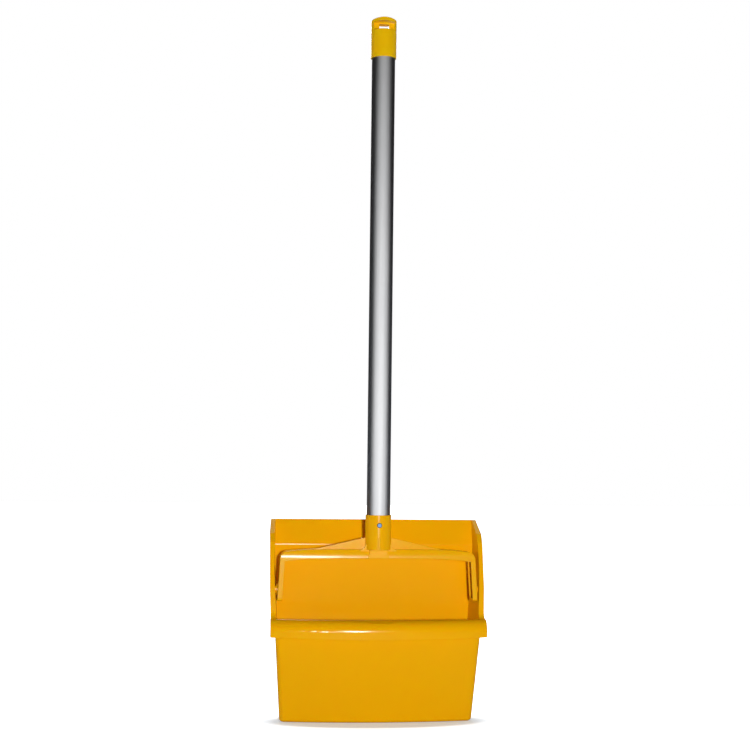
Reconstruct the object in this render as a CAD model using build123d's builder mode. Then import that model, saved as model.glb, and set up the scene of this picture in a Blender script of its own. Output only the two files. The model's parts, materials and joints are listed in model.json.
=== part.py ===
"""Upright lobby dust pan: a bail-handled hopper with a lip at its top and a rolled rim at its front.

Millimetres, +Z up, front of the pan towards -Y, +X to the right. The origin is the centre of the
base at floor level. Depths in the dimensions below are measured forward from the plane of the back.
"""

from build123d import *
import os
from math import asin, cos, degrees, radians, sin, sqrt, tan

# ---------------------------------------------------------------- driving dimensions
# Hopper, a moulding of one wall
WALL = 2.6
PAN_HEIGHT = 268.0
BASE_HALF_WIDTH = 127.0          # at the back
SIDE_DRAFT = 3.3                 # degrees, each side wall leans out towards its top
SIDE_FLARE = 3.0                 # degrees, and towards the front
UPRIGHT_RUN = 63.0               # over this much below the lip the side walls stand upright
FRONT_BASE_DEPTH = 70.0          # depth of the base at the middle
LIP_RUN = 34.0                   # height of the lip's ramp, down to the crest of the back
CREST_DEPTH = 8.0                # the back leans forward by this much up to the crest
LEAN_RUN = 79.0                  # height over which it does
CREST_RADIUS = 8.0
LIP_THICKNESS = 1.4
BEND_RADIUS = 400.0              # where the back starts to lean
BACK_CORNER_RADIUS = 4.0
FRONT_CORNER_RADIUS = 7.0
BASE_EDGE_RADIUS = 5.0

# Rolled rim along the top of the front wall
RIM_TOP = 139.0
RIM_FRONT_DEPTH = 107.0
RIM_ROLL_RADIUS = 14.5
RIM_REACH = 13.5                 # ahead of the front wall
RIM_OVERHANG = 4.5               # beyond each side wall
RIM_BOW_RADIUS = 769.0           # plan radius of the rim's front and of the front wall
FRONT_UPRIGHT = 22.0             # below the rim's top the front wall stands upright for this much
SKIRT_HEIGHT = 25.0
SKIRT_ARCH = 2.6                 # the skirt's lower edge is this much higher at its ends
REST_WIDTH = 33.2                # flat where the handle lies when it is swung forward
REST_BACK = 1.6                  # ahead of the crest of the roll
REST_RUN = 7.4

# Mouth: the line that the side walls' edges follow, from the lip down to the rim
LIP_SIDE_DEPTH = 3.0
SHOULDER_DEPTH = 36.0
SHOULDER_DROP = 18.0             # below the lip
BEVEL_RUN = 9.0                  # from the shoulder forward
BEVEL_DROP = 11.0                # from the shoulder down
WAIST_SETBACK = 44.5             # behind the rim's front
WAIST_RISE = 41.0                # above the rim's top
FOOT_SETBACK = 38.0
FOOT_RISE = 9.0
EDGE_CORNER_RADIUS = 3.0
FLANGE_THICKNESS = 2.6
FLANGE_OVERHANG = 4.3            # beyond the side wall at the waist
FLANGE_LIP_TUCK = 2.7            # narrower than that at the lip
FLANGE_FOOT_TUCK = 1.1           # and at the foot

# Pivots
PIVOT_SETBACK = 12.0             # behind the mouth's waist
PIVOT_RISE = 37.0                # above the rim's top
PIVOT_DIAMETER = 10.0
PIVOT_CLEARANCE = 0.05           # radial, pin in its bore
COLLAR_DIAMETER = 16.0
COLLAR_GAP = 0.3                 # collar to the inside of the hopper wall
PIVOT_BOSS_DIAMETER = 18.0
PIVOT_BOSS_HEIGHT = 1.7

# Yoke: channel-section arch that carries the socket
YOKE_WALL = 3.0
YOKE_REAR = 13.0                 # behind the pivots
YOKE_FRONT = 17.5                # ahead of the pivots
YOKE_RISE = 54.7                 # crossbar's top above the pivots
YOKE_END_DROP = 4.1              # the crossbar's top falls by this much to its shoulders
YOKE_FLAT_HALF = 60.0
YOKE_SIDE_GAP = 0.6              # arm's foot to the inside of the hopper wall
YOKE_SPLAY = 3.9                 # from the shoulders out to the feet
YOKE_CORNER_RADIUS = 10.0
CROSSBAR_HEIGHT = 11.8
CROSSBAR_LEAN = 22.0             # degrees, lean of the crossbar's front at its top
ARM_WIDTH = 6.3
ARM_DROP = 14.0                  # arm's foot below the pivots
ARM_FOOT_RADIUS = 3.0

# Socket and its gussets, one moulding with the yoke
SOCKET_DIAMETER = 34.8
SOCKET_AHEAD = 9.0               # its axis ahead of the pivots
SOCKET_HEIGHT = 46.3
SOCKET_FLOOR = 3.3
GUSSET_THICKNESS = 3.0
GUSSET_RISE = 15.7               # above the crossbar, at the socket
GUSSET_HALF_SPAN = 98.0          # where it runs out in the crossbar's wall
WEB_RADIUS = 7.0                 # hollow corner in front of each gusset
WEB_REACH = 7.0                  # ahead of the socket's axis
LEDGE_HALF_WIDTH = 12.4
LEDGE_HEIGHT = 1.6
LEDGE_REACH = 8.2                # ahead of the crossbar's face
PANEL_TOP_HALF_WIDTH = 11.5
PANEL_FOOT_HALF_WIDTH = 14.2
PANEL_PROUD = 1.5
SEAM_WIDTH = 2.0
SEAM_PROUD = 0.4
SEAM_HEIGHT = 18.0

# Handle tube, 1 1/4 inch
TUBE_DIAMETER = 31.75
TUBE_WALL = 1.2
TUBE_LENGTH = 697.0
TUBE_CLEARANCE = 0.05            # radial, tube in the socket and in the cap

# Cap with its hanging slot
CAP_DIAMETER = 34.8
CAP_OVERLAP = 32.5               # over the tube
CAP_RISE = 21.2                  # above the tube
CAP_CROWN = 2.4                  # the top falls by this much to its edge
CAP_EDGE_RADIUS = 2.5
POCKET_HALF_WIDTH = 14.4
POCKET_FLOOR = 5.2               # above the tube
POCKET_ROOF = 4.5                # plastic above the pocket, at the middle
POCKET_ARCH = 1.2                # the pocket's ceiling falls by this much to its ends
BLADE_THICKNESS = 7.5
SLOT_WIDTH = 13.2
SLOT_HEIGHT = 8.3
SLOT_SILL = 0.8                  # above the pocket's floor

# Spring button that locks the tube in the socket
BUTTON_DIAMETER = 6.5
BUTTON_DROP = 13.5               # its axis below the socket's top
BUTTON_PROUD = 0.8               # ahead of the socket
BUTTON_EDGE = 0.7                # chamfer round its crown
BUTTON_HOLE_CLEARANCE = 0.1      # radial
BUTTON_HEAD_DIAMETER = 10.0
BUTTON_HEAD_THICKNESS = 1.2
BUTTON_HEAD_GAP = 0.3            # head to the inside of the tube
SPRING_WIDTH = 8.0
SPRING_THICKNESS = 0.5
SPRING_FACE = 12.0               # straight stretch behind the button
SPRING_DROP = 22.0               # button to the spring's fold
SPRING_TAIL = 18.0               # spring above the button
SPRING_FOLD_RADIUS = 3.0

# ---------------------------------------------------------------- worked out from the above
BACK_Y = RIM_FRONT_DEPTH / 2
SIDE = Plane(origin=(0, BACK_Y, 0), x_dir=(0, -1, 0), z_dir=(-1, 0, 0))    # depth, height
BACK = Plane(origin=(0, BACK_Y, 0), x_dir=(1, 0, 0), z_dir=(0, -1, 0))     # width, height

draft_top = PAN_HEIGHT - UPRIGHT_RUN
crest_height = PAN_HEIGHT - LIP_RUN
lean_height = crest_height - LEAN_RUN
front_wall_depth = RIM_FRONT_DEPTH - RIM_REACH
front_wall_top = RIM_TOP - FRONT_UPRIGHT
roll_centre = (RIM_FRONT_DEPTH - RIM_ROLL_RADIUS, RIM_TOP - RIM_ROLL_RADIUS)
edge_shoulder = (SHOULDER_DEPTH, PAN_HEIGHT - SHOULDER_DROP)
edge_bevel = (SHOULDER_DEPTH + BEVEL_RUN, PAN_HEIGHT - SHOULDER_DROP - BEVEL_DROP)
edge_waist = (RIM_FRONT_DEPTH - WAIST_SETBACK, RIM_TOP + WAIST_RISE)
edge_foot = (RIM_FRONT_DEPTH - FOOT_SETBACK, RIM_TOP + FOOT_RISE)

pivot_depth = edge_waist[0] - PIVOT_SETBACK
pivot_height = RIM_TOP + PIVOT_RISE
yoke_back = pivot_depth - YOKE_REAR
yoke_front = pivot_depth + YOKE_FRONT
yoke_top = pivot_height + YOKE_RISE
yoke_shoulder = yoke_top - YOKE_END_DROP
yoke_foot = pivot_height - ARM_DROP
socket_depth = pivot_depth + SOCKET_AHEAD
socket_top = yoke_top + SOCKET_HEIGHT
button_height = socket_top - BUTTON_DROP
tube_bottom = yoke_top + SOCKET_FLOOR
tube_top = tube_bottom + TUBE_LENGTH
cap_bottom = tube_top - CAP_OVERLAP
cap_top = tube_top + CAP_RISE


def side_half_width(height, depth):
    """Outer half width of the hopper at a height and a depth."""
    leaning = min(height, draft_top) * tan(radians(SIDE_DRAFT))
    return BASE_HALF_WIDTH + leaning + depth * tan(radians(SIDE_FLARE))


OVER = 40.0                      # how far cutting shapes run past what they cut
LEVEL_EDGE = 0.2                 # an edge that rises by less than this counts as level
WIDE = side_half_width(draft_top, RIM_FRONT_DEPTH) + OVER
rim_half_width = side_half_width(RIM_TOP, roll_centre[0]) + RIM_OVERHANG
flange_half_width = side_half_width(edge_waist[1], edge_waist[0]) + FLANGE_OVERHANG
pivot_half_width = side_half_width(pivot_height, pivot_depth)

BOW_AXIS_DEPTH = RIM_FRONT_DEPTH - RIM_BOW_RADIUS
BOW_HALF_ANGLE = degrees(asin(WIDE / (RIM_BOW_RADIUS - RIM_FRONT_DEPTH - OVER)))
BOW_AXIS = Axis((0, BACK_Y - BOW_AXIS_DEPTH, 0), (0, 0, 1))
BOW_PLANE = Plane(
    origin=BOW_AXIS.position,
    x_dir=(-sin(radians(BOW_HALF_ANGLE)), -cos(radians(BOW_HALF_ANGLE)), 0),
    z_dir=(-cos(radians(BOW_HALF_ANGLE)), sin(radians(BOW_HALF_ANGLE)), 0),
)
rim_end_bow = RIM_BOW_RADIUS - sqrt(RIM_BOW_RADIUS**2 - rim_half_width**2)


def bowed(depth):
    """Radius about the bow's axis of a point at this depth in the middle of the front."""
    return depth - BOW_AXIS_DEPTH


def hopper_block(inset, top):
    """The hopper's form as a closed block, drawn in by a wall thickness; the outside is rounded."""
    lip_depth = LIP_THICKNESS if inset else 0.0
    ramp = (CREST_DEPTH + inset - lip_depth) / LIP_RUN
    base_half = BASE_HALF_WIDTH - inset
    top_half = side_half_width(draft_top, 0) - inset
    under = OVER * tan(radians(SIDE_DRAFT))
    with BuildPart() as block:
        with BuildSketch(SIDE):
            with BuildLine():
                Polyline(
                    (inset, inset),
                    (inset, lean_height),
                    (CREST_DEPTH + inset, crest_height),
                    (lip_depth - ramp * (top - PAN_HEIGHT), top),
                    (RIM_FRONT_DEPTH + OVER, top),
                    (RIM_FRONT_DEPTH + OVER, inset),
                    close=True,
                )
            make_face()
            crest = vertices().sort_by_distance((CREST_DEPTH + inset, crest_height))[0]
            fillet(crest, CREST_RADIUS - WALL + inset)
            bend = vertices().sort_by_distance((inset, lean_height))[0]
            fillet(bend, BEND_RADIUS)
        extrude(amount=WIDE, both=True)
        with BuildSketch(BACK):
            with BuildLine():
                Polyline(
                    (under - base_half, -OVER),
                    (-top_half, draft_top),
                    (-top_half, top + OVER),
                    (top_half, top + OVER),
                    (top_half, draft_top),
                    (base_half - under, -OVER),
                    close=True,
                )
            make_face()
        extrude(amount=RIM_FRONT_DEPTH + 2 * OVER, taper=-SIDE_FLARE, mode=Mode.INTERSECT)
        if not inset:
            back_edges = edges().filter_by_position(Axis.Y, BACK_Y - CREST_DEPTH - WALL, BACK_Y + WALL)
            sides = back_edges.filter_by(lambda e: abs(e.center().X) > BASE_HALF_WIDTH / 2)
            fillet(sides.filter_by(lambda e: e.bounding_box().size.Z > LEVEL_EDGE), BACK_CORNER_RADIUS)
        front_slope = (front_wall_depth - FRONT_BASE_DEPTH) / front_wall_top
        with BuildSketch(BOW_PLANE):
            with BuildLine():
                Polyline(
                    (bowed(-OVER), -OVER),
                    (bowed(FRONT_BASE_DEPTH - inset - OVER * front_slope), -OVER),
                    (bowed(front_wall_depth - inset), front_wall_top),
                    (bowed(front_wall_depth - inset), top + OVER),
                    (bowed(-OVER), top + OVER),
                    close=True,
                )
            make_face()
        revolve(axis=BOW_AXIS, revolution_arc=2 * BOW_HALF_ANGLE, mode=Mode.INTERSECT)
        if not inset:
            wide = edges().filter_by(lambda e: abs(e.center().X) > BASE_HALF_WIDTH / 2)
            front = wide.filter_by(lambda e: BACK_Y - e.center().Y > FRONT_BASE_DEPTH / 2)
            fillet(front.filter_by(lambda e: e.bounding_box().size.Z > LEVEL_EDGE), FRONT_CORNER_RADIUS)
            fillet(edges().group_by(Axis.Z)[0], BASE_EDGE_RADIUS)
    return block.part


def mouth_edge():
    """The side walls' edge from the lip down to the rim, drawn in the open sketch line."""
    edge_end = (roll_centre[0] - rim_end_bow, RIM_TOP)
    lip = (LIP_SIDE_DEPTH, PAN_HEIGHT)
    straight = FilletPolyline(lip, edge_shoulder, edge_bevel, edge_waist, edge_foot, radius=EDGE_CORNER_RADIUS)
    TangentArc(straight @ 1, edge_end, tangent=straight % 1)


# ---------------------------------------------------------------- hopper
hopper = hopper_block(0.0, PAN_HEIGHT)
cavity = hopper_block(WALL, PAN_HEIGHT + OVER)

with BuildPart() as rim:
    # rolled section, closed at both ends, hollow from below
    with BuildSketch(BOW_PLANE):
        with BuildLine():
            crest = (bowed(roll_centre[0]), RIM_TOP)
            hip = (bowed(RIM_FRONT_DEPTH), roll_centre[1])
            root = (bowed(front_wall_depth), front_wall_top)
            inner = bowed(front_wall_depth - WALL)
            Polyline(
                crest,
                (inner, RIM_TOP),
                (inner, root[1] + RIM_ROLL_RADIUS),
                (root[0], root[1] + RIM_ROLL_RADIUS - WALL),
                (root[0], 0),
                (hip[0], 0),
                hip,
            )
            RadiusArc(hip, crest, -RIM_ROLL_RADIUS)
        make_face()
    revolve(axis=BOW_AXIS, revolution_arc=2 * BOW_HALF_ANGLE)
    with BuildSketch(BACK):
        with BuildLine():
            skirt_bottom = RIM_TOP - SKIRT_HEIGHT
            foot_left = (-rim_half_width, skirt_bottom + SKIRT_ARCH)
            foot_right = (rim_half_width, skirt_bottom + SKIRT_ARCH)
            ThreePointArc(foot_left, (0, skirt_bottom), foot_right)
            Polyline(foot_right, (rim_half_width, RIM_TOP), (-rim_half_width, RIM_TOP), foot_left)
        make_face()
    extrude(amount=2 * RIM_FRONT_DEPTH, mode=Mode.INTERSECT)
    # flat for the handle, across the front of the roll
    with BuildSketch(SIDE):
        with BuildLine():
            back = roll_centre[0] + REST_BACK
            front = back + REST_RUN
            rise_back = roll_centre[1] + sqrt(RIM_ROLL_RADIUS**2 - REST_BACK**2)
            rise_front = roll_centre[1] + sqrt(RIM_ROLL_RADIUS**2 - (REST_BACK + REST_RUN) ** 2)
            Polyline((back, rise_back), (front, rise_front), (front, RIM_TOP), (back, RIM_TOP), close=True)
        make_face()
    extrude(amount=REST_WIDTH / 2, both=True, mode=Mode.SUBTRACT)

with BuildPart() as rim_hollow:
    with BuildSketch(BOW_PLANE):
        with BuildLine():
            rise = sqrt((RIM_ROLL_RADIUS - WALL) ** 2 - (front_wall_depth - roll_centre[0]) ** 2)
            crest = (bowed(front_wall_depth), roll_centre[1] + rise)
            hip = (bowed(RIM_FRONT_DEPTH - WALL), roll_centre[1])
            Polyline(crest, (crest[0], 0), (hip[0], 0), hip)
            RadiusArc(hip, crest, -(RIM_ROLL_RADIUS - WALL))
        make_face()
    revolve(axis=BOW_AXIS, revolution_arc=2 * BOW_HALF_ANGLE)
    with BuildSketch(BACK):
        Rectangle(2 * (rim_half_width - WALL), 2 * PAN_HEIGHT)
    extrude(amount=2 * RIM_FRONT_DEPTH, mode=Mode.INTERSECT)

with BuildPart() as flange:
    # turned outwards along the mouth, a little narrower at its foot and at the lip
    with BuildSketch(SIDE):
        with BuildLine():
            mouth_edge()
            offset(amount=FLANGE_THICKNESS, side=Side.RIGHT)
        make_face()
    extrude(amount=flange_half_width, both=True)
    with BuildSketch(BACK):
        with BuildLine():
            foot_half = flange_half_width - FLANGE_FOOT_TUCK
            right = Polyline(
                (foot_half, 0),
                (foot_half, edge_foot[1]),
                (flange_half_width, edge_waist[1]),
                (flange_half_width, edge_shoulder[1]),
                (flange_half_width - FLANGE_LIP_TUCK, PAN_HEIGHT),
                (0, PAN_HEIGHT),
            )
            Line(right @ 0, (0, 0))
            mirror(about=Plane.YZ)
        make_face()
    extrude(amount=RIM_FRONT_DEPTH, mode=Mode.INTERSECT)

with BuildPart() as pan_body:
    add(hopper)
    # mouth, cut down from the lip to the rim
    with BuildSketch(SIDE):
        with BuildLine():
            mouth_edge()
            edge_end = (roll_centre[0] - rim_end_bow, RIM_TOP)
            Polyline(
                edge_end,
                (edge_end[0], RIM_TOP - WALL),
                (RIM_FRONT_DEPTH + OVER, RIM_TOP - WALL),
                (RIM_FRONT_DEPTH + OVER, PAN_HEIGHT + OVER),
                (LIP_SIDE_DEPTH, PAN_HEIGHT + OVER),
                (LIP_SIDE_DEPTH, PAN_HEIGHT),
            )
        make_face()
    extrude(amount=WIDE, both=True, mode=Mode.SUBTRACT)
    add(rim.part)
    add(rim_hollow.part, mode=Mode.SUBTRACT)
    add(flange.part)
    # bosses for the pivots, on the outside of the side walls
    with BuildSketch(Plane.YZ):
        with Locations((BACK_Y - pivot_depth, pivot_height)):
            Circle(PIVOT_BOSS_DIAMETER / 2)
    extrude(amount=pivot_half_width + PIVOT_BOSS_HEIGHT, both=True)
    add(cavity, mode=Mode.SUBTRACT)
    with BuildSketch(Plane.YZ):
        with Locations((BACK_Y - pivot_depth, pivot_height)):
            Circle(PIVOT_DIAMETER / 2 + PIVOT_CLEARANCE)
    extrude(amount=WIDE, both=True, mode=Mode.SUBTRACT)
pan_body.part.label = "pan_body"

# ---------------------------------------------------------------- yoke
foot_half_width = side_half_width(yoke_foot, yoke_back) - WALL - YOKE_SIDE_GAP
splay = YOKE_SPLAY / (yoke_shoulder - yoke_foot)


def yoke_half_width(height):
    """Outer half width of the yoke's arms at a height."""
    return foot_half_width - (height - yoke_foot) * splay


def arch(side_inset, crown_inset, corner_radius):
    """Front view of the yoke filled down past its feet, drawn in at its sides and at its crown."""
    foot = yoke_foot - OVER
    crown = yoke_top - crown_inset
    shoulder = yoke_shoulder - crown_inset
    shoulder_half = yoke_half_width(shoulder) - side_inset
    foot_half = yoke_half_width(foot) - side_inset
    with BuildSketch(BACK) as outline:
        with BuildLine():
            flat = Line((-YOKE_FLAT_HALF, crown), (YOKE_FLAT_HALF, crown))
            right = TangentArc(flat @ 1, (shoulder_half, shoulder), tangent=(1, 0))
            left = TangentArc(flat @ 0, (-shoulder_half, shoulder), tangent=(-1, 0))
            Polyline(left @ 1, (-foot_half, foot), (foot_half, foot), right @ 1)
        make_face()
        if corner_radius:
            corners = vertices().filter_by(lambda v: abs(v.X) > shoulder_half - WALL and v.Y > foot)
            fillet(corners, corner_radius)
    return outline.sketch


def yoke_side(inset):
    """Side view of the yoke: square feet below the pivots, and a front that leans back at its top."""
    lean = CROSSBAR_HEIGHT * tan(radians(CROSSBAR_LEAN) / 2)
    back = yoke_back + inset
    front = yoke_front - inset
    brow_depth = yoke_front - lean - inset
    with BuildSketch(SIDE) as outline:
        with BuildLine():
            foot = FilletPolyline(
                (back, pivot_height),
                (back, yoke_foot + inset),
                (front, yoke_foot + inset),
                (front, pivot_height),
                radius=ARM_FOOT_RADIUS,
            )
            face = Line(foot @ 1, (front, yoke_top - CROSSBAR_HEIGHT))
            brow = TangentArc(face @ 1, (brow_depth, yoke_top), tangent=(0, 1))
            Polyline(brow @ 1, (brow_depth, yoke_top + WALL), (back, yoke_top + WALL), foot @ 0)
        make_face()
    return outline.sketch


with BuildPart() as channel_core:
    extrude(arch(YOKE_WALL, YOKE_WALL, YOKE_CORNER_RADIUS - YOKE_WALL), amount=RIM_FRONT_DEPTH)
    extrude(yoke_side(YOKE_WALL), amount=WIDE, both=True, mode=Mode.INTERSECT)

with BuildPart() as yoke:
    # channel section, open inwards on the arms and downwards on the crossbar
    extrude(arch(0, 0, YOKE_CORNER_RADIUS), amount=RIM_FRONT_DEPTH)
    extrude(yoke_side(0), amount=WIDE, both=True, mode=Mode.INTERSECT)
    add(channel_core.part, mode=Mode.SUBTRACT)
    extrude(arch(ARM_WIDTH, CROSSBAR_HEIGHT, 0), amount=RIM_FRONT_DEPTH, mode=Mode.SUBTRACT)
    # socket
    with BuildSketch(Plane.XY.offset(yoke_top)):
        with Locations((0, BACK_Y - socket_depth)):
            Circle(SOCKET_DIAMETER / 2)
    extrude(amount=SOCKET_HEIGHT)
    # gussets out along the crossbar
    with BuildSketch(BACK.offset(socket_depth - GUSSET_THICKNESS / 2)):
        with BuildLine():
            Polyline(
                (-GUSSET_HALF_SPAN, yoke_top - YOKE_WALL),
                (GUSSET_HALF_SPAN, yoke_top - YOKE_WALL),
                (SOCKET_DIAMETER / 2, yoke_top + GUSSET_RISE),
                (-SOCKET_DIAMETER / 2, yoke_top + GUSSET_RISE),
                close=True,
            )
        make_face()
    extrude(amount=GUSSET_THICKNESS)
    # webs with a hollow corner in front of the gussets
    with BuildSketch(BACK.offset(socket_depth)):
        with BuildLine():
            web_half = SOCKET_DIAMETER / 2 + WEB_RADIUS
            right = TangentArc(
                (web_half, yoke_top), (SOCKET_DIAMETER / 2, yoke_top + WEB_RADIUS), tangent=(-1, 0)
            )
            Polyline(right @ 1, (0, yoke_top + WEB_RADIUS))
            Polyline(right @ 0, (web_half, yoke_top - YOKE_WALL), (0, yoke_top - YOKE_WALL))
            mirror(about=Plane.YZ)
        make_face()
    extrude(amount=WEB_REACH)
    # ledge under the socket's front, and the plain panel below it
    with BuildSketch(Plane.XY.offset(yoke_top - LEDGE_HEIGHT)):
        with Locations((0, BACK_Y - yoke_front - LEDGE_REACH / 2 + YOKE_WALL)):
            Rectangle(2 * LEDGE_HALF_WIDTH, LEDGE_REACH + 2 * YOKE_WALL)
    extrude(amount=LEDGE_HEIGHT)
    with BuildSketch(BACK.offset(yoke_front - YOKE_WALL)):
        with BuildLine():
            waist = yoke_top - CROSSBAR_HEIGHT
            Polyline(
                (-PANEL_FOOT_HALF_WIDTH, waist),
                (-PANEL_TOP_HALF_WIDTH, yoke_top - LEDGE_HEIGHT),
                (PANEL_TOP_HALF_WIDTH, yoke_top - LEDGE_HEIGHT),
                (PANEL_FOOT_HALF_WIDTH, waist),
                close=True,
            )
        make_face()
    extrude(amount=YOKE_WALL + PANEL_PROUD)
    # seam of the moulding, up the socket's front
    with BuildSketch(Plane.XY.offset(yoke_top - LEDGE_HEIGHT)):
        with Locations((0, BACK_Y - socket_depth - SOCKET_DIAMETER / 2)):
            Rectangle(SEAM_WIDTH, 2 * SEAM_PROUD)
    extrude(amount=SEAM_HEIGHT)
    # seat for the tube, and the hole for the button
    with BuildSketch(Plane.XY.offset(tube_bottom)):
        with Locations((0, BACK_Y - socket_depth)):
            Circle(TUBE_DIAMETER / 2 + TUBE_CLEARANCE)
    extrude(amount=SOCKET_HEIGHT, mode=Mode.SUBTRACT)
    with BuildSketch(BACK.offset(socket_depth)):
        with Locations((0, button_height)):
            Circle(BUTTON_DIAMETER / 2 + BUTTON_HOLE_CLEARANCE)
    extrude(amount=SOCKET_DIAMETER, mode=Mode.SUBTRACT)
    # pivot pins and their collars
    wall_lean = tan(radians(SIDE_DRAFT)) + tan(radians(SIDE_FLARE))
    web = yoke_half_width(pivot_height) - YOKE_WALL
    collar_end = pivot_half_width - WALL - COLLAR_GAP - COLLAR_DIAMETER / 2 * wall_lean
    for side in (-1, 1):
        with BuildSketch(Plane.YZ.offset(side * web)):
            with Locations((BACK_Y - pivot_depth, pivot_height)):
                Circle(PIVOT_DIAMETER / 2)
        extrude(amount=side * (pivot_half_width + PIVOT_BOSS_HEIGHT - web))
        with BuildSketch(Plane.YZ.offset(side * (web + YOKE_WALL / 2))):
            with Locations((BACK_Y - pivot_depth, pivot_height)):
                Circle(COLLAR_DIAMETER / 2)
        extrude(amount=side * (collar_end - web - YOKE_WALL / 2))
yoke.part.label = "yoke"

# ---------------------------------------------------------------- handle tube
with BuildPart() as handle_tube:
    with BuildSketch(Plane.XY.offset(tube_bottom)):
        with Locations((0, BACK_Y - socket_depth)):
            Circle(TUBE_DIAMETER / 2)
            Circle(TUBE_DIAMETER / 2 - TUBE_WALL, mode=Mode.SUBTRACT)
    extrude(amount=TUBE_LENGTH)
    with BuildSketch(BACK.offset(socket_depth)):
        with Locations((0, button_height)):
            Circle(BUTTON_DIAMETER / 2 + BUTTON_HOLE_CLEARANCE)
    extrude(amount=SOCKET_DIAMETER, mode=Mode.SUBTRACT)
handle_tube.part.label = "handle_tube"

# ---------------------------------------------------------------- end cap
CAP_PLANE = Plane(origin=(0, BACK_Y - socket_depth, 0), x_dir=(1, 0, 0), z_dir=(0, -1, 0))
cap_radius = CAP_DIAMETER / 2

with BuildPart() as end_cap:
    with BuildSketch(Plane.XY.offset(cap_bottom)):
        with Locations((0, BACK_Y - socket_depth)):
            Circle(cap_radius)
    extrude(amount=cap_top - cap_bottom)
    # arched top
    with BuildSketch(CAP_PLANE):
        with BuildLine():
            end_left = (-cap_radius, cap_top - CAP_CROWN)
            end_right = (cap_radius, cap_top - CAP_CROWN)
            ThreePointArc(end_left, (0, cap_top), end_right)
            Polyline(end_right, (cap_radius, cap_bottom), (-cap_radius, cap_bottom), end_left)
        make_face()
        fillet(vertices().group_by(Axis.Y)[-1], CAP_EDGE_RADIUS)
    extrude(amount=CAP_DIAMETER, both=True, mode=Mode.INTERSECT)
    # pockets front and back leave a blade, with the hanging slot through it
    pocket_floor = tube_top + POCKET_FLOOR
    pocket_ceiling = cap_top - POCKET_ROOF
    for front in (-1, 1):
        with BuildSketch(CAP_PLANE.offset(front * BLADE_THICKNESS / 2)):
            with BuildLine():
                end_left = (-POCKET_HALF_WIDTH, pocket_ceiling - POCKET_ARCH)
                end_right = (POCKET_HALF_WIDTH, pocket_ceiling - POCKET_ARCH)
                ThreePointArc(end_left, (0, pocket_ceiling), end_right)
                Polyline(
                    end_right,
                    (POCKET_HALF_WIDTH, pocket_floor),
                    (-POCKET_HALF_WIDTH, pocket_floor),
                    end_left,
                )
            make_face()
        extrude(amount=front * CAP_DIAMETER, mode=Mode.SUBTRACT)
    with BuildSketch(CAP_PLANE):
        with Locations((0, pocket_floor + SLOT_SILL + SLOT_HEIGHT / 2)):
            Rectangle(SLOT_WIDTH, SLOT_HEIGHT)
    extrude(amount=CAP_DIAMETER, both=True, mode=Mode.SUBTRACT)
    # seat for the tube
    with BuildSketch(Plane.XY.offset(cap_bottom)):
        with Locations((0, BACK_Y - socket_depth)):
            Circle(TUBE_DIAMETER / 2 + TUBE_CLEARANCE)
    extrude(amount=CAP_OVERLAP, mode=Mode.SUBTRACT)
end_cap.part.label = "end_cap"

# ---------------------------------------------------------------- spring button
tube_bore = TUBE_DIAMETER / 2 - TUBE_WALL
head_front = socket_depth + sqrt(tube_bore**2 - (BUTTON_HEAD_DIAMETER / 2) ** 2) - BUTTON_HEAD_GAP
head_back = head_front - BUTTON_HEAD_THICKNESS
button_tip = socket_depth + SOCKET_DIAMETER / 2 + BUTTON_PROUD

with BuildPart() as snap_button:
    with BuildSketch(BACK.offset(head_back)):
        with Locations((0, button_height)):
            Circle(BUTTON_HEAD_DIAMETER / 2)
    extrude(amount=BUTTON_HEAD_THICKNESS)
    with BuildSketch(BACK.offset(head_front)):
        with Locations((0, button_height)):
            Circle(BUTTON_DIAMETER / 2)
    extrude(amount=button_tip - head_front)
    chamfer(edges().sort_by(Axis.Y)[0], BUTTON_EDGE)
snap_button.part.label = "snap_button"

with BuildPart() as button_spring:
    # leaf folded in a V, its back leg along the tube's wall
    with BuildSketch(SIDE):
        with BuildLine():
            leg_back = socket_depth - sqrt(tube_bore**2 - (SPRING_WIDTH / 2) ** 2) + TUBE_CLEARANCE
            FilletPolyline(
                (head_back, button_height + SPRING_FACE / 2),
                (head_back, button_height - SPRING_FACE / 2),
                (leg_back + 2 * SPRING_FOLD_RADIUS, button_height - SPRING_DROP),
                (leg_back, button_height - SPRING_DROP + SPRING_FOLD_RADIUS),
                (leg_back, button_height + SPRING_TAIL),
                radius=SPRING_FOLD_RADIUS / 2,
            )
            offset(amount=SPRING_THICKNESS, side=Side.RIGHT)
        make_face()
    extrude(amount=SPRING_WIDTH / 2, both=True)
button_spring.part.label = "button_spring"

# ---------------------------------------------------------------- export
os.makedirs("parts", exist_ok=True)
for piece in (pan_body, yoke, handle_tube, end_cap, snap_button, button_spring):
    export_step(piece.part, f"parts/{piece.part.label}.step")
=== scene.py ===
"""Looks of an upright lobby dust pan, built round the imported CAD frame.

Metres, +Z up, front of the pan towards -Y. The hopper, yoke, tube, cap, button and spring are the
CAD nodes themselves, dressed in moulded plastic and metal; each kind of material has its own short
function, and its numbers stand at the top of the file.
"""
import json
import math

import bpy
from mathutils import Matrix, Vector

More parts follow.
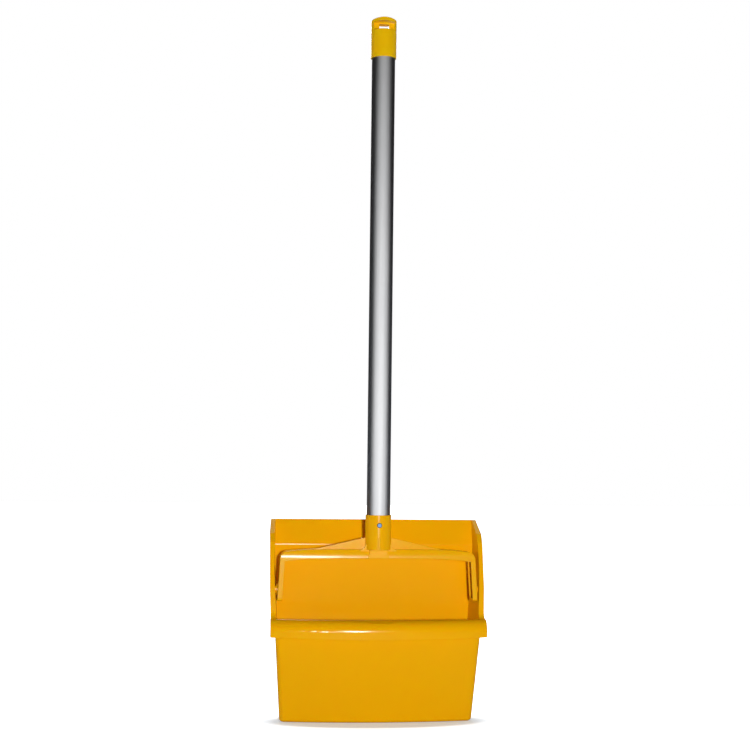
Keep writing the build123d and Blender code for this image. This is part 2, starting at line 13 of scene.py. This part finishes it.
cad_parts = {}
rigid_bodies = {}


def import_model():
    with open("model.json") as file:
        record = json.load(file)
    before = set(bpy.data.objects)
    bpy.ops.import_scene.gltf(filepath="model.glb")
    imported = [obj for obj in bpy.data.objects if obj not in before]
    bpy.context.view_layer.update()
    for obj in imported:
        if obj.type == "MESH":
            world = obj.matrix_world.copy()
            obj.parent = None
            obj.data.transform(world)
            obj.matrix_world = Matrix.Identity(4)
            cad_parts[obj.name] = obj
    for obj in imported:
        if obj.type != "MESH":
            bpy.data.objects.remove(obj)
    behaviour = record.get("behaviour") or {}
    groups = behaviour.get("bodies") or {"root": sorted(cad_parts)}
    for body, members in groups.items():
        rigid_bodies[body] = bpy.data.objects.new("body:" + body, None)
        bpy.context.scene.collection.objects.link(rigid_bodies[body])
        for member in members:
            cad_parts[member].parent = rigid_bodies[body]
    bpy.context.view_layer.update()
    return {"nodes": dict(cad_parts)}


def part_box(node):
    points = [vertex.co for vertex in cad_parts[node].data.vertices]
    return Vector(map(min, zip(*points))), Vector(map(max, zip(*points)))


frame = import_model()

# ---------------------------------------------------------------- the measure read from the frame
floor_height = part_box("pan_body")[0][2]

# ---------------------------------------------------------------- camera
CAMERA_PLACE = (-0.2214, -2.1065, 0.377)
CAMERA_YAW = math.radians(-5.835)
CAMERA_PITCH = math.radians(2.41)
CAMERA_ROLL = math.radians(0.659)
CAMERA_LENS = 74.88              # mm, on a sensor of the next line's width
SENSOR_WIDTH = 36.0

# ---------------------------------------------------------------- lamps and room
LAMPS = {                        # place, diameter and power of each round lamp
    "key": ((-0.03, -2.05, 0.36), 0.11, 33.0),
    "top": ((0.0, 1.2, 1.9), 1.2, 6.0),
    "back": ((0.0, 2.1, 1.45), 0.9, 19.0),
}
AIM = (0.0, 0.0, 0.30)           # what the lamps point at
ROOM_LEVEL = 3.6                 # soft light from the sides and behind, strongest from the sides
ROOM_TURN = (0.10, 0.35)         # Y of the direction where it starts, and where it is full
MIRROR_LEVEL = 0.04              # what reflections see of the room

# ---------------------------------------------------------------- floor
FLOOR_SIZE = 14.0
FLOOR_TINTS = ((0.38, 0.43, 0.49), (0.40, 0.45, 0.51))
FLOOR_SPECK = 3.0                # scale of its unevenness; noise scales are in cycles a metre
FLOOR_ROUGHNESS = 0.9
FLOOR_SPECULAR = 0.1
FLOOR_PALER = 1.7                # how much paler it is to the camera than to the pan
FLOOR_GLOW = (0.32, 1.3)         # glow that keeps it white to the camera: weak near the pan, painting shade round it, and full away from it
FLOOR_PAINTED_SHADE_REACH = (0.055, 0.075)      # reach of the painted shade: from and to this far, on an ellipse round the pan
# shape of the ellipse of painted shade round the pan
FLOOR_PAINTED_SHADE_SHAPE = (0.40, 1.15, 1.0)

# ---------------------------------------------------------------- moulded plastic
PLASTICS = {                     # slot, light and dark pigment, roughness, specular level
    "pan_body": ("pan_plastic", (0.91, 0.437, 0.001), (0.88, 0.422, 0.001), 0.14, 0.10),
    "yoke": ("yoke_plastic", (0.90, 0.44, 0.002), (0.87, 0.425, 0.002), 0.17, 0.13),
    "end_cap": ("cap_plastic", (0.89, 0.515, 0.003), (0.86, 0.50, 0.003), 0.14, 0.12),
}
PLASTIC_IOR = 1.5
PLASTIC_FLOW = 9.0               # scale of the flow marks in the pigment
PLASTIC_GLOSS = 55.0             # scale of the uneven gloss
PLASTIC_GLOSS_SPREAD = (-0.03, 0.05)   # round the roughness
PLASTIC_DEPTH = (1.0, 0.3, 0.02)       # how far red, green and blue light spreads inside
PLASTIC_DEPTH_SCALE = 0.0006
PLASTIC_DEPTH_WEIGHT = 0.3
PLASTIC_WAVES = (28.0, 0.35, 0.0006)   # scale, strength and depth of the mould's waves
PLASTIC_GRAIN = (1900.0, 0.5, 0.00003)     # and of its fine grain
EDGE_RADIUS = 0.0009             # of the moulded edges
EDGE_SAMPLES = 6

# ---------------------------------------------------------------- metals: dark and light tints
TUBE_TINTS = ((0.46, 0.46, 0.465), (0.50, 0.50, 0.50))
TUBE_EDGE_TINT = (0.55, 0.55, 0.55, 1)
TUBE_ANISOTROPY = 0.54
TUBE_ROUGHNESS = (0.55, 0.63)
TUBE_LINES = 900.0               # scale of the drawn lines round the tube
TUBE_LINES_SHAPE = (1.0, 1.0, 0.012)   # drawn out along it
TUBE_LINES_BUMP = (0.6, 0.00008)
TUBE_PATCHES = 22.0
TUBE_PATCHES_SHAPE = (1.0, 1.0, 0.25)
BUTTON_TINTS = ((0.09, 0.16, 0.29), (0.13, 0.21, 0.35))
BUTTON_SPREAD = (0.35, 0.65)
BUTTON_ROUGHNESS = (0.50, 0.60)
BUTTON_WEAR = 900.0
SPRING_TINTS = ((0.24, 0.25, 0.28), (0.36, 0.37, 0.39))
SPRING_ROUGHNESS = (0.28, 0.42)
SPRING_LINES = 1200.0
SPRING_LINES_SHAPE = (1.0, 0.05, 0.05)

TINT_SPREAD = (0.3, 0.7)         # where noise, from 0 to 1, turns from a dark to a light tint
WHITE = (1, 1, 1, 1)


def clear_scene():
    """Leaves only the frame's own objects."""
    for item in list(bpy.data.objects):
        if item.type in {"CAMERA", "LIGHT"}:
            bpy.data.objects.remove(item)


# ---------------------------------------------------------------- node helpers
def new_material(name):
    """A node material, its tree, and its Principled shader."""
    material = bpy.data.materials.new(name)
    material.use_nodes = True
    tree = material.node_tree
    return material, tree, tree.nodes["Principled BSDF"]


def object_coordinates(tree, scale=(1.0, 1.0, 1.0)):
    """Object coordinates, stretched by a scale on each axis."""
    source = tree.nodes.new("ShaderNodeTexCoord")
    mapping = tree.nodes.new("ShaderNodeMapping")
    mapping.inputs["Scale"].default_value = scale
    tree.links.new(source.outputs["Object"], mapping.inputs["Vector"])
    return mapping.outputs["Vector"]


def noise(tree, vector, scale, detail):
    """Noise of a scale in cycles a metre."""
    node = tree.nodes.new("ShaderNodeTexNoise")
    node.inputs["Scale"].default_value = scale
    node.inputs["Detail"].default_value = detail
    tree.links.new(vector, node.inputs["Vector"])
    return node.outputs["Fac"]


def ramp(tree, factor, dark, light, spread=TINT_SPREAD):
    """A colour from dark to light as the factor crosses the spread."""
    node = tree.nodes.new("ShaderNodeValToRGB")
    for element, place, colour in zip(node.color_ramp.elements, spread, (dark, light)):
        element.position = place
        element.color = (*colour, 1.0)
    tree.links.new(factor, node.inputs["Fac"])
    return node.outputs["Color"]


def remap(tree, factor, low, high, start=0.0, stop=1.0):
    """A factor from start to stop spread from low to high."""
    node = tree.nodes.new("ShaderNodeMapRange")
    node.inputs["From Min"].default_value = start
    node.inputs["From Max"].default_value = stop
    node.inputs["To Min"].default_value = low
    node.inputs["To Max"].default_value = high
    tree.links.new(factor, node.inputs["Value"])
    return node.outputs["Result"]


def bump(tree, height, strength, distance, base=None):
    """Bump of a depth in metres, on top of an earlier bump."""
    node = tree.nodes.new("ShaderNodeBump")
    node.inputs["Strength"].default_value = strength
    node.inputs["Distance"].default_value = distance
    tree.links.new(height, node.inputs["Height"])
    if base is not None:
        tree.links.new(base, node.inputs["Normal"])
    return node.outputs["Normal"]


def rounded_edges(tree):
    """Normals that round every moulded edge by a fraction of a millimetre."""
    node = tree.nodes.new("ShaderNodeBevel")
    node.samples = EDGE_SAMPLES
    node.inputs["Radius"].default_value = EDGE_RADIUS
    return node.outputs["Normal"]


def arithmetic(tree, operation, value, other):
    """A value and another value or constant, added or multiplied."""
    node = tree.nodes.new("ShaderNodeMath")
    node.operation = operation
    tree.links.new(value, node.inputs[0])
    if isinstance(other, float):
        node.inputs[1].default_value = other
    else:
        tree.links.new(other, node.inputs[1])
    return node.outputs[0]


def times(tree, value, other):
    """The product of a value and another value or constant."""
    return arithmetic(tree, "MULTIPLY", value, other)


def plus(tree, value, other):
    """The sum of two values."""
    return arithmetic(tree, "ADD", value, other)


# ---------------------------------------------------------------- materials
def inner_glow(shader):
    """The little light that spreads inside pigmented plastic."""
    shader.inputs["Subsurface Weight"].default_value = PLASTIC_DEPTH_WEIGHT
    shader.inputs["Subsurface Radius"].default_value = PLASTIC_DEPTH
    shader.inputs["Subsurface Scale"].default_value = PLASTIC_DEPTH_SCALE


def moulded_surface(tree, vector):
    """Normals of a moulded face: rounded edges, then slow waves, then fine grain."""
    normal = rounded_edges(tree)
    for scale, strength, depth in (PLASTIC_WAVES, PLASTIC_GRAIN):
        normal = bump(tree, noise(tree, vector, scale, detail=2.0), strength, depth, normal)
    return normal


def moulded_plastic(name, light, dark, roughness, specular):
    """Pigmented moulded plastic: a fine grain, faint flow marks, and a slightly uneven gloss."""
    material, tree, shader = new_material(name)
    vector = object_coordinates(tree)
    flow = noise(tree, vector, PLASTIC_FLOW, detail=3.0)
    tree.links.new(ramp(tree, flow, dark, light), shader.inputs["Base Color"])
    gloss = noise(tree, vector, PLASTIC_GLOSS, detail=5.0)
    low, high = (roughness + change for change in PLASTIC_GLOSS_SPREAD)
    tree.links.new(remap(tree, gloss, low, high), shader.inputs["Roughness"])
    shader.inputs["IOR"].default_value = PLASTIC_IOR
    shader.inputs["Specular IOR Level"].default_value = specular
    inner_glow(shader)
    tree.links.new(moulded_surface(tree, vector), shader.inputs["Normal"])
    return material


def tangent_round_z(tree):
    """The direction round the tube, which its shine is stretched along."""
    around = tree.nodes.new("ShaderNodeTangent")
    around.direction_type = "RADIAL"
    around.axis = "Z"
    return around.outputs["Tangent"]


def tube_metal():
    """Satin drawn tube: its lines run along it, so its shine is wide round it and short along."""
    material, tree, shader = new_material("tube_metal")
    tree.nodes.remove(shader)
    metal = tree.nodes.new("ShaderNodeBsdfMetallic")
    metal.distribution = "BECKMANN"
    lines = noise(tree, object_coordinates(tree, TUBE_LINES_SHAPE), TUBE_LINES, detail=3.0)
    patches = noise(tree, object_coordinates(tree, TUBE_PATCHES_SHAPE), TUBE_PATCHES, detail=3.0)
    tree.links.new(ramp(tree, patches, *TUBE_TINTS), metal.inputs["Base Color"])
    metal.inputs["Edge Tint"].default_value = TUBE_EDGE_TINT
    metal.inputs["Anisotropy"].default_value = TUBE_ANISOTROPY
    tree.links.new(tangent_round_z(tree), metal.inputs["Tangent"])
    tree.links.new(remap(tree, lines, *TUBE_ROUGHNESS), metal.inputs["Roughness"])
    tree.links.new(bump(tree, lines, *TUBE_LINES_BUMP), metal.inputs["Normal"])
    tree.links.new(metal.outputs["BSDF"], tree.nodes["Material Output"].inputs["Surface"])
    return material


def metal_by_factor(tree, shader, factor, tints, spread, roughness):
    """Makes the shader a metal whose colour and roughness follow a factor."""
    tree.links.new(ramp(tree, factor, *tints, spread), shader.inputs["Base Color"])
    shader.inputs["Metallic"].default_value = 1.0
    tree.links.new(remap(tree, factor, *roughness), shader.inputs["Roughness"])


def button_metal():
    """Plated button with fine wear."""
    material, tree, shader = new_material("button_metal")
    wear = noise(tree, object_coordinates(tree), BUTTON_WEAR, detail=4.0)
    metal_by_factor(tree, shader, wear, BUTTON_TINTS, BUTTON_SPREAD, BUTTON_ROUGHNESS)
    return material


def spring_metal():
    """Blued spring strip with rolling lines."""
    material, tree, shader = new_material("spring_metal")
    stretched = object_coordinates(tree, SPRING_LINES_SHAPE)
    lines = noise(tree, stretched, SPRING_LINES, detail=3.0)
    metal_by_factor(tree, shader, lines, SPRING_TINTS, TINT_SPREAD, SPRING_ROUGHNESS)
    return material


def dress(node, material):
    """Gives a CAD node its material."""
    slots = frame["nodes"][node].data.materials
    slots.clear()
    slots.append(material)


# ---------------------------------------------------------------- stage
def floor_colour(tree, to_camera):
    """Faintly uneven pale grey, paler to the camera."""
    speck = noise(tree, object_coordinates(tree), FLOOR_SPECK, detail=2.0)
    colour = tree.nodes.new("ShaderNodeVectorMath")
    colour.operation = "SCALE"
    tree.links.new(ramp(tree, speck, *FLOOR_TINTS), colour.inputs[0])
    tree.links.new(remap(tree, to_camera, 1.0, FLOOR_PALER), colour.inputs["Scale"])
    return colour.outputs["Vector"]


def floor_glow_and_painted_shade(tree, to_camera):
    """White that only the camera sees, weak on an ellipse round the pan: painted shade that
    darkens the floor there, on top of the pan's real shadow.
    """
    glow = tree.nodes.new("ShaderNodeEmission")
    glow.inputs["Color"].default_value = WHITE
    away = tree.nodes.new("ShaderNodeVectorMath")
    away.operation = "LENGTH"
    tree.links.new(object_coordinates(tree, FLOOR_PAINTED_SHADE_SHAPE), away.inputs[0])
    # painted shade: the glow is weaker on an ellipse round the pan, so the floor there is darker
    level = remap(tree, away.outputs["Value"], *FLOOR_GLOW, *FLOOR_PAINTED_SHADE_REACH)
    tree.links.new(times(tree, to_camera, level), glow.inputs["Strength"])
    return glow.outputs["Emission"]


def floor_material():
    """Near-white floor that stays white to the camera and keeps the object's shadow, with painted
    shade round the pan.
    """
    material, tree, shader = new_material("floor")
    to_camera = tree.nodes.new("ShaderNodeLightPath").outputs["Is Camera Ray"]
    tree.links.new(floor_colour(tree, to_camera), shader.inputs["Base Color"])
    shader.inputs["Roughness"].default_value = FLOOR_ROUGHNESS
    shader.inputs["Specular IOR Level"].default_value = FLOOR_SPECULAR
    both = tree.nodes.new("ShaderNodeAddShader")
    tree.links.new(shader.outputs["BSDF"], both.inputs[0])
    tree.links.new(floor_glow_and_painted_shade(tree, to_camera), both.inputs[1])
    tree.links.new(both.outputs["Shader"], tree.nodes["Material Output"].inputs["Surface"])
    return material


def make_floor():
    """Wide floor plane at the height of the pan's base."""
    bpy.ops.mesh.primitive_plane_add(size=FLOOR_SIZE, location=(0, 0, floor_height))
    floor = bpy.context.object
    floor.name = "floor"
    floor.data.materials.append(floor_material())


def room_light(tree):
    """Strength of the room's light by direction: none from in front, most from the sides."""
    toward = tree.nodes.new("ShaderNodeSeparateXYZ")
    tree.links.new(tree.nodes.new("ShaderNodeTexCoord").outputs["Generated"], toward.inputs[0])
    behind = remap(tree, toward.outputs["Y"], 0.0, ROOM_LEVEL, *ROOM_TURN)
    beside = times(tree, toward.outputs["X"], toward.outputs["X"])
    return times(tree, behind, beside)


def make_world():
    """Room light on surfaces, a little of it in mirrors, and white where the camera looks past
    the floor."""
    world = bpy.data.worlds.new("studio")
    bpy.context.scene.world = world
    world.use_nodes = True
    world.cycles.sampling_method = "NONE"
    tree = world.node_tree
    background = tree.nodes["Background"]
    background.inputs["Color"].default_value = WHITE
    ray = tree.nodes.new("ShaderNodeLightPath").outputs
    to_room = times(tree, ray["Is Diffuse Ray"], room_light(tree))
    to_mirror = times(tree, ray["Is Glossy Ray"], MIRROR_LEVEL)
    to_glass = times(tree, ray["Is Transmission Ray"], MIRROR_LEVEL)
    seen = plus(tree, ray["Is Camera Ray"], plus(tree, to_mirror, to_glass))
    tree.links.new(plus(tree, seen, to_room), background.inputs["Strength"])


def round_lamp(name, place, size, power):
    """Round soft lamp aimed at the pan."""
    lamp = bpy.data.lights.new(name, "AREA")
    lamp.shape = "DISK"
    lamp.size = size
    lamp.energy = power
    holder = bpy.data.objects.new(name, lamp)
    bpy.context.collection.objects.link(holder)
    holder.location = place
    aim = Vector(AIM) - Vector(place)
    holder.rotation_euler = aim.to_track_quat("-Z", "Y").to_euler()


def camera_turn():
    """The camera's rotation: turned by its yaw, tipped by its pitch, then rolled."""
    forward = Vector((
        -math.sin(CAMERA_YAW) * math.cos(CAMERA_PITCH),
        math.cos(CAMERA_YAW) * math.cos(CAMERA_PITCH),
        math.sin(CAMERA_PITCH),
    ))
    level = Vector((math.cos(CAMERA_YAW), math.sin(CAMERA_YAW), 0.0))
    upward = level.cross(forward)
    right = math.cos(CAMERA_ROLL) * level + math.sin(CAMERA_ROLL) * upward
    up = math.cos(CAMERA_ROLL) * upward - math.sin(CAMERA_ROLL) * level
    return Matrix((right, up, -forward)).transposed().to_4x4()


def make_camera():
    """Camera a little above the pan's top, turned and tipped as the product shot is."""
    lens = bpy.data.cameras.new("camera")
    lens.lens = CAMERA_LENS
    lens.sensor_width = SENSOR_WIDTH
    holder = bpy.data.objects.new("camera", lens)
    bpy.context.collection.objects.link(holder)
    holder.matrix_world = Matrix.Translation(CAMERA_PLACE) @ camera_turn()
    bpy.context.scene.camera = holder


# ---------------------------------------------------------------- the scene
clear_scene()
bpy.context.scene.view_settings.view_transform = "Standard"
make_camera()
make_world()
make_floor()
for lamp_name, lamp_settings in LAMPS.items():
    round_lamp(lamp_name, *lamp_settings)

for plastic_node, look in PLASTICS.items():
    dress(plastic_node, moulded_plastic(*look))
dress("handle_tube", tube_metal())
dress("snap_button", button_metal())
dress("button_spring", spring_metal())
